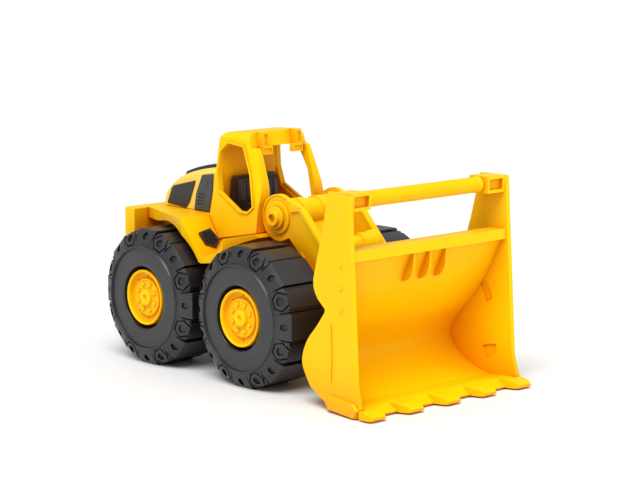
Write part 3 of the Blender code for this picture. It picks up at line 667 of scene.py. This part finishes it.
def cab():
    outline = [(0.535, 2.208), (0.597, 2.91), (0.620, 3.33), (0.640, 3.372), (0.680, 3.410), (0.735, 3.432)]
    outline += [(1.24, CAB_TOP), (1.30, 3.25), (1.42, 3.235), (1.475, 3.09), (1.57, 2.80), (1.60, 2.67)]
    outline += [(1.60, 2.50), (1.585, 2.38), (1.585, 2.055), (0.78, 1.895)]
    base = bmesh.new()
    prism(base, outline, -CAB_HALF, CAB_HALF)
    flared(base)
    for side in (-1, 1):
        slice_off(base, at(1.45, side * 0.604, 2.80), Vector((0.298, side * 0.927, 0.226)))
        slice_off(base, at(1.0, side * 0.54, 3.36), Vector((0.0, side * 0.726, 0.688)))
    step = BODY_HALF + GAP
    under = bmesh.new()
    box(under, 0.0, 1.56 + GAP, -step, step, 1.0, DECK_Z + GAP)
    room = bmesh.new()
    inside = [(0.60, 2.27), (0.655, 2.91), (0.68, 3.32), (0.75, 3.37), (1.20, 3.385), (1.17, 3.27)]
    inside += [(1.32, 2.95), (1.43, 2.70), (1.46, 2.45), (1.46, 2.27)]
    prism(room, inside, WALL - CAB_HALF, CAB_HALF - WALL)
    doorway = bmesh.new()
    box(doorway, 1.08, 1.80, -DOORWAY_HALF, DOORWAY_HALF, 2.345, 3.252)
    pane = [(0.83, 3.28), (1.17, 3.25), (1.365, 2.87), (1.475, 2.42), (1.375, 2.335), (1.217, 2.335)]
    pane += [(0.72, 2.59), (0.655, 2.85), (0.68, 3.15)]
    rims = bmesh.new()
    for side in (-1, 1):
        frame_ring(rims, grown(pane, 0.026), pane, side * (CAB_HALF - 0.02), side * (CAB_HALF + 0.020))
    recess = bmesh.new()
    hollow = [(0.90, 3.30), (1.20, 3.28), (1.45, 2.88), (1.545, 2.42), (1.40, 2.30), (1.20, 2.30)]
    hollow += [(0.72, 2.55), (0.70, 2.85), (0.72, 3.15)]
    prism(recess, hollow, THIN_WALL - CAB_HALF, CAB_HALF - THIN_WALL)
    windows = bmesh.new()
    prism(windows, pane, -0.90, 0.90)
    hoods, lamps, faces = bmesh.new(), bmesh.new(), bmesh.new()
    for side in (-1, 1):
        box(hoods, 1.22, 1.385, side * 0.265, side * 0.375, 3.25, 3.47)
        box(lamps, 1.32, 1.405, side * 0.20, side * 0.385, 3.145, 3.262)
        box(faces, 1.366, 1.45, side * 0.285, side * 0.355, 3.285, 3.435)
        box(faces, 1.388, 1.45, side * 0.22, side * 0.365, 3.165, 3.235)
    steps = [("DIFFERENCE", under), ("DIFFERENCE", flared(room)), ("DIFFERENCE", doorway)]
    steps += [("DIFFERENCE", flared(recess)), ("DIFFERENCE", windows), ("UNION", flared(rims))]
    steps += [("UNION", hoods), ("UNION", lamps), ("DIFFERENCE", faces)]
    piece("v_cab", shaped(base, steps, 0.0009, 3, 28.0), "frame", YELLOW, ["cab"])


def seat():
    floor = 2.27 + GAP
    outline = [(0.62, floor), (0.675, 2.70), (0.700, 2.755), (0.740, 2.782), (0.79, 2.772), (0.835, 2.73)]
    outline += [(0.850, 2.66), (0.860, 2.40), (1.12, 2.385), (1.16, 2.37), (1.18, floor)]
    base = bmesh.new()
    prism(base, outline, -0.38, 0.38)
    ribs = bmesh.new()
    for index in range(6):
        y = -0.30 + 0.12 * index
        rib = ((0.045, 0.800), (0.040, 0.862), (0.028, 0.884), (0.012, 0.890))
        rings = []
        for half, x in rib:
            foot = [(x, y - half, 2.41), (x, y + half, 2.41)]
            rings.append(foot + [(x - 0.03, y + half, 2.715), (x - 0.03, y - half, 2.715)])
        loft(ribs, rings)
    piece("v_seat", shaped(base, [("UNION", ribs)], 0.0009, 3, 28.0), "frame", SEAT, ["seat"])


# ---------------------------------------------------------------- loader arms

ARM_INNER = 0.50
ARM_OUTER = 0.565
DISC = 0.335
BOLT = 0.07
PIN = 0.05
ARM_TOP = [(2.44, 2.49), (2.80, 2.10), (3.20, 1.68)]
ARM_LOW = [(3.06, 1.24), (2.70, 1.53), (2.40, 1.83), (2.16, 2.04)]


def symmetric(half):
    """A (radius, y) run going outwards, with its mirror image before it."""
    return [(radius, -y) for radius, y in reversed(half)] + half


def front_tower():
    floor = CHASSIS_TOP + GAP
    outline = [(1.61, floor), (2.46, floor), (2.40, 1.95), (2.16, 2.22), (2.08, 2.32), (1.80, 2.32)]
    outline += [(1.72, 2.22), (1.61, 2.02)]
    base = bmesh.new()
    prism(base, outline, -0.40, 0.40)
    tube = bmesh.new()
    half = [(0.232, 0.105), (0.252, 0.115), (0.252, 0.262), (0.240, 0.268), (0.240, 0.284)]
    half += [(0.252, 0.290), (0.252, 0.404), (0.240, 0.410), (0.240, 0.426), (0.252, 0.432), (0.252, 0.488)]
    turned(tube, PIVOT, symmetric(half), 64)
    bores = bmesh.new()
    for side in (-1, 1):
        turned(bores, PIVOT, [(BOLT + GAP, 0.25), (BOLT + GAP, 0.60)], 24, side)
    steps = [("UNION", tube), ("DIFFERENCE", bores)]
    piece("v_front_tower", shaped(base, steps, 0.0005, 2, 30.0), "frame", YELLOW, ["front_tower"])


def pivot_bolts():
    face = ARM_OUTER + 0.035 + GAP
    base = bmesh.new()
    profile = [(BOLT, 0.26), (BOLT, face), (0.160, face), (0.165, face + 0.008), (0.165, face + 0.036)]
    profile += [(0.158, face + 0.045), (0.122, face + 0.050), (0.116, face + 0.094), (0.106, face + 0.100)]
    turned(base, PIVOT, profile, 48)
    socket = bmesh.new()
    prism(socket, circle(PIVOT, 0.065, 6), face + 0.040, face + 0.2)
    pair("arm_pivot_bolt", shaped(base, [("DIFFERENCE", socket)], 0.0003, 2), "frame", YELLOW)


def lift_arms():
    tip = arc(HINGE, 0.17, 82.0, -112.0, 18)
    disc = arc(PIVOT, DISC, 300.0, 50.0, 40)
    outline = disc + ARM_TOP + tip + ARM_LOW
    base = bmesh.new()
    prism(base, outline, ARM_INNER, ARM_OUTER)
    rail = 0.055
    ridge = bmesh.new()
    top = [(2.24, 2.455)] + ARM_TOP + [(3.47, 1.39)]
    under = [(x - 0.7 * rail, z - 0.7 * rail) for x, z in reversed(top)]
    prism(ridge, top + under, ARM_INNER - 0.01, ARM_OUTER + 0.030)
    plateau = bmesh.new()
    ring = [(0.240, ARM_INNER + 0.02), (0.240, ARM_OUTER + 0.024), (0.226, ARM_OUTER + 0.035)]
    turned(plateau, PIVOT, ring, 64)
    border = bmesh.new()
    outer = arc(PIVOT, DISC, 300.0, 62.0, 40)
    inner = arc(PIVOT, 0.312, 300.0, 62.0, 40)
    prism(border, outer + inner[::-1], ARM_OUTER - 0.02, ARM_OUTER + 0.014)
    lower = bmesh.new()
    edge = ARM_LOW[:3][::-1]
    inset = [(x + 0.030, z + 0.042) for x, z in edge]
    prism(lower, edge + inset[::-1], ARM_OUTER - 0.02, ARM_OUTER + 0.012)
    knuckle = bmesh.new()
    boss = [(0.125, ARM_INNER + 0.02), (0.125, ARM_OUTER + 0.012), (0.118, ARM_OUTER + 0.018)]
    turned(knuckle, HINGE, boss, 40)
    holes = bmesh.new()
    turned(holes, PIVOT, [(BOLT + GAP, 0.3), (BOLT + GAP, 0.8)], 32)
    turned(holes, HINGE, [(PIN + GAP, 0.3), (PIN + GAP, 0.8)], 24)
    steps = [("UNION", ridge), ("UNION", plateau), ("UNION", border), ("UNION", lower), ("UNION", knuckle)]
    steps += [("DIFFERENCE", holes)]
    pair("lift_arm", shaped(base, steps, 0.0005, 2, 30.0), "lift_arms", YELLOW)


def arm_tubes():
    end = ARM_INNER - 0.01 - GAP
    base = bmesh.new()
    half = [(0.115, 0.140), (0.122, 0.150), (0.155, 0.160), (0.155, 0.355), (0.162, 0.367)]
    half += [(0.175, 0.380), (0.175, end - 0.010), (0.168, end)]
    turned(base, TORQUE_TUBE, symmetric(half), 48)
    piece("v_arm_torque_tube", shaped(base, (), 0.0003, 2), "lift_arms", YELLOW, ["arm_torque_tube"])
    pin = bmesh.new()
    profile = [(PIN, 0.665), (0.080, 0.665), (0.085, 0.670), (0.085, 0.684), (0.078, 0.690)]
    turned(pin, HINGE, symmetric(profile), 32)
    piece("v_bucket_hinge_pin", shaped(pin, (), 0.0002, 1), "lift_arms", STEEL, ["bucket_hinge_pin"])


# ---------------------------------------------------------------- bucket

PAN_HALF = 1.465
SIDE_OUTER = 1.541
GRIP_HALF = 1.125
PLATE_FRONT = 4.43
DRAFT = 0.10
LIP_X = 4.72
TOOTH_PITCH = 0.71
TOOTH_REACH = 1.585
PAN_OUTER = [(4.30, 2.08), (4.12, 1.68), (3.94, 1.385), (3.73, 1.12), (3.52, 0.87), (3.425, 0.575)]
PAN_OUTER += [(3.60, 0.285), (3.90, 0.120), (4.20, 0.030)]
PAN_INNER = [(4.20, 0.110), (3.94, 0.185), (3.66, 0.350), (3.490, 0.585), (3.575, 0.840), (3.785, 1.085)]
PAN_INNER += [(4.00, 1.355), (4.18, 1.65), (4.365, 2.065)]
SHELF = [(4.45, 2.080), (4.45, 2.225), (4.19, 2.225), (4.19, 2.08)]


def drafted(bm, outline, y0, y1):
    """A prism whose sides close in towards the rear, as the bucket's do."""
    rings = []
    for y in (y0, y1):
        lean = math.copysign(DRAFT, y)
        rings.append([(x, y - lean * (PLATE_FRONT - x), z) for x, z in outline])
    loft(bm, rings)


def tooth(bm, y):
    """A tapering tooth; the outermost ones widen past the side plates only in front of them."""
    stations = ((4.54, 0.245, 0.205, 0.024, 0.122), (4.60, 0.235, 0.195, 0.024, 0.132))
    stations += ((4.664, 0.222, 0.184, 0.024, 0.128), (4.676, 0.219, 0.182, 0.024, 0.127))
    stations += ((4.84, 0.165, 0.140, 0.026, 0.106), (4.90, 0.130, 0.115, 0.032, 0.070))
    rings = []
    for x, foot, crest, low, high in stations:
        ring = [(y - foot, low), (y + foot, low), (y + crest, high), (y - crest, high)]
        if abs(y) > 1.4:
            reach = PAN_HALF - 0.01 if x < 4.67 else TOOTH_REACH
            ring = [(math.copysign(min(abs(py), reach), py), pz) for py, pz in ring]
        rings.append([(x, py, pz) for py, pz in ring])
    loft(bm, rings)


def bucket_pan():
    lip = [(LIP_X - 0.02, 0.018), (LIP_X, 0.045), (LIP_X - 0.16, 0.128), (4.45, 0.124)]
    base = bmesh.new()
    drafted(base, rounded(PAN_OUTER) + lip + rounded(PAN_INNER) + SHELF, -PAN_HALF, PAN_HALF)
    teeth = bmesh.new()
    for index in range(-2, 3):
        tooth(teeth, TOOTH_PITCH * index)
    lugs = bmesh.new()
    lug = arc(HINGE, 0.15, 95.0, 235.0, 18) + [(3.63, 0.95), (3.81, 1.17), (3.985, 1.41), (3.70, 1.43)]
    for side in (-1, 1):
        for inner, outer in ((0.425, 0.485), (0.605, 0.655)):
            prism(lugs, lug, side * inner, side * outer)
    bores = bmesh.new()
    turned(bores, HINGE, [(PIN + GAP, -0.9), (PIN + GAP, 0.9)], 24)
    ribs = bmesh.new()
    rib = [(4.34, 2.085), (4.16, 1.68), (4.20, 1.66), (4.30, 1.69), (4.365, 1.745), (4.405, 1.82)]
    rib += [(4.42, 1.90), (4.42, 2.085)]
    for y in (-0.31, 0.0, 0.31):
        prism(ribs, rib, y - 0.014, y + 0.014)
    steps = [("UNION", teeth), ("UNION", lugs), ("DIFFERENCE", bores), ("UNION", ribs)]
    piece("v_bucket_pan", shaped(base, steps, 0.0007, 3, 30.0), "bucket", YELLOW, ["bucket_pan"])


def bucket_sides():
    outline = [(3.985, 2.98), (3.83, 2.34), (3.66, 1.78), (3.655, 1.71), (3.665, 1.64), (3.70, 1.57)]
    outline += [(3.76, 1.495), (3.915, 1.385), (3.905, 1.335)]
    outline += rounded([(3.72, 1.115), (3.50, 0.870), (3.405, 0.571), (3.585, 0.270)], 7)
    outline += [(3.82, 0.155), (3.90, 0.125), (3.96, 0.045), (4.63, 0.022), (4.66, 0.150)]
    outline += [(4.58, 0.430), (4.43, 2.97)]
    inner = PAN_HALF + GAP
    base = bmesh.new()
    drafted(base, outline, inner, SIDE_OUTER)
    shoes = bmesh.new()
    shoe = [(3.985, 0.040), (4.60, 0.016), (4.655, 0.130), (4.56, 0.215), (4.03, 0.235)]
    rings = []
    for y, scale in ((inner + 0.02, 1.0), (SIDE_OUTER + 0.012, 1.0), (SIDE_OUTER + 0.045, 0.93)):
        ring = [(4.35 + (x - 4.35) * scale, 0.12 + (z - 0.12) * scale) for x, z in shoe]
        rings.append([(x, y - DRAFT * (PLATE_FRONT - x), z) for x, z in ring])
    loft(shoes, rings)
    blocks = bmesh.new()
    block = [(4.055, 2.975), (4.05, 2.755), (4.415, 2.745), (4.425, 2.985)]
    prism(blocks, block, GRIP_HALF + GAP, inner + 0.02)
    bosses = bmesh.new()
    for x, z in ((4.255, 2.02), (4.262, 1.72), (4.27, 1.42)):
        face = SIDE_OUTER - DRAFT * (PLATE_FRONT - x)
        turned(bosses, (x, z), [(0.036, face - 0.03), (0.034, face + 0.010), (0.024, face + 0.018)], 24)
    crease = bmesh.new()
    rib = [(4.02, 0.42), (4.06, 0.42), (4.075, 0.80), (4.06, 1.20), (4.03, 1.20), (4.035, 0.80)]
    drafted(crease, rib, inner + 0.02, SIDE_OUTER + 0.015)
    pocket = bmesh.new()
    box(pocket, 4.36, 4.60, GRIP_HALF + 0.035, GRIP_HALF + 0.30, 2.79, 2.94)
    dents = bmesh.new()
    upper = [(3.98, 1.41), (4.11, 1.43), (4.19, 1.32), (4.225, 1.20), (4.12, 1.135), (4.07, 1.28)]
    lower = [(4.06, 0.50), (4.18, 0.54), (4.305, 0.55), (4.307, 0.435), (4.22, 0.37), (4.13, 0.325)]
    for hollow in (upper, lower):
        drafted(dents, hollow, inner - 0.05, inner + 0.030)
    steps = [("UNION", shoes), ("UNION", blocks), ("UNION", bosses), ("UNION", crease)]
    steps += [("DIFFERENCE", pocket), ("DIFFERENCE", dents)]
    pair("bucket_side", shaped(base, steps, 0.0008, 3, 30.0), "bucket", YELLOW)


def bucket_grip():
    """Round bar with a raised diamond knurl between two smooth ends."""
    around, wide, smooth = 80, 12, 0.115
    span = 2 * (GRIP_HALF - smooth)
    pitches = 34
    rings = []
    ends = [(0.100, 0.0), (0.112, 0.012), (0.115, 0.030), (0.115, smooth - 0.012), (0.108, smooth - 0.004)]
    rows = [(radius, y - GRIP_HALF, 0.0) for radius, y in ends]
    count = pitches * 5
    rows += [(0.101, span * (i / count - 0.5), 0.014) for i in range(count + 1)]
    rows += [(radius, GRIP_HALF - y, 0.0) for radius, y in reversed(ends)]
    for radius, y, height in rows:
        ring = []
        for i in range(around):
            turn = 2 * math.pi * i / around
            along = math.pi * pitches * (y / span + 0.5)
            diamond = abs(math.cos(wide * turn / 2 + along) * math.cos(wide * turn / 2 - along))
            r = radius + height * diamond
            ring.append((GRIP[0] + r * math.cos(turn), y, GRIP[1] + r * math.sin(turn)))
        rings.append(ring)
    base = bmesh.new()
    loft(base, rings)
    piece("v_bucket_grip", shaped(base, (), 0.0), "bucket", YELLOW, ["bucket_grip"], 60.0)


# ---------------------------------------------------------------- frame parts that keep the CAD shape


def dress_cad():
    finishes = {"chassis": BLACK, "front_axle": STEEL, "rear_axle": STEEL}
    for number in range(1, 5):
        finishes[f"chassis_screw_{number}"] = STEEL
    for name, material in finishes.items():
        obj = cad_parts[name]
        if not obj.material_slots:
            obj.data.materials.append(material)
        for entry in obj.material_slots:
            entry.material = material


# ---------------------------------------------------------------- stage


def area_light(name, place, target, size, power):
    data = bpy.data.lights.new(name, "AREA")
    data.shape = "RECTANGLE"
    data.size, data.size_y = size
    data.energy = power
    obj = bpy.data.objects.new(name, data)
    obj.location = place
    obj.rotation_euler = (Vector(target) - Vector(place)).to_track_quat("-Z", "Y").to_euler()
    bpy.context.scene.collection.objects.link(obj)


KEY_FROM = (0.50, -0.75, 1.5)
KEY_POWER = 2.7
KEY_SPREAD_DEG = 40.0
FRONT_PLACE = (1.6, 0.3, 0.8)
FRONT_TARGET = (0.1, 0.0, 0.1)
FRONT_SIZE = (0.8, 0.6)
FRONT_POWER = 4.0
FLOOR_SIZE = 40.0


def stage():
    mat = moulded("pale_floor", (0.90, 0.90, 0.90), (0.89, 0.89, 0.89), 0.62, 0.02, 300.0)
    bm = bmesh.new()
    bmesh.ops.create_grid(bm, x_segments=2, y_segments=2, size=FLOOR_SIZE)
    mesh = bpy.data.meshes.new("floor")
    bm.to_mesh(mesh)
    bm.free()
    mesh.materials.append(mat)
    floor = bpy.data.objects.new("floor", mesh)
    floor.location.z = -0.0002
    bpy.context.scene.collection.objects.link(floor)
    world = bpy.data.worlds.new("studio")
    world.use_nodes = True
    sky = world.node_tree.nodes["Background"]
    sky.inputs["Color"].default_value = (1.0, 1.0, 1.0, 1.0)
    sky.inputs["Strength"].default_value = 0.50
    bpy.context.scene.world = world
    bpy.context.scene.view_settings.view_transform = "Standard"
    sun = bpy.data.lights.new("key", "SUN")
    sun.energy = KEY_POWER
    sun.angle = math.radians(KEY_SPREAD_DEG)
    key = bpy.data.objects.new("key", sun)
    key.rotation_euler = Vector(KEY_FROM).to_track_quat("Z", "Y").to_euler()
    bpy.context.scene.collection.objects.link(key)
    area_light("front", FRONT_PLACE, FRONT_TARGET, FRONT_SIZE, FRONT_POWER)


# The camera's place in tyre radii, as the shapes are, and where it looks.
EYE = (24.738, -20.684, 6.903)
VIEW_TURN_DEG = 47.462
VIEW_PITCH_DEG = 9.188
LENS_MM = 121.47


def camera():
    data = bpy.data.cameras.new("view")
    data.sensor_width = 36.0
    data.lens = LENS_MM
    obj = bpy.data.objects.new("view", data)
    turn, pitch = math.radians(VIEW_TURN_DEG), math.radians(VIEW_PITCH_DEG)
    ahead = Vector((-math.sin(turn) * math.cos(pitch), math.cos(turn) * math.cos(pitch), -math.sin(pitch)))
    obj.location = at(*EYE)
    obj.rotation_euler = ahead.to_track_quat("-Z", "Y").to_euler()
    bpy.context.scene.collection.objects.link(obj)
    bpy.context.scene.camera = obj


wheels()
body_shell()
counterweight()
hood()
hood_panels()
grille()
cab()
seat()
front_tower()
pivot_bolts()
lift_arms()
arm_tubes()
bucket_pan()
bucket_sides()
bucket_grip()
dress_cad()
stage()
camera()

bpy.context.view_layer.update()
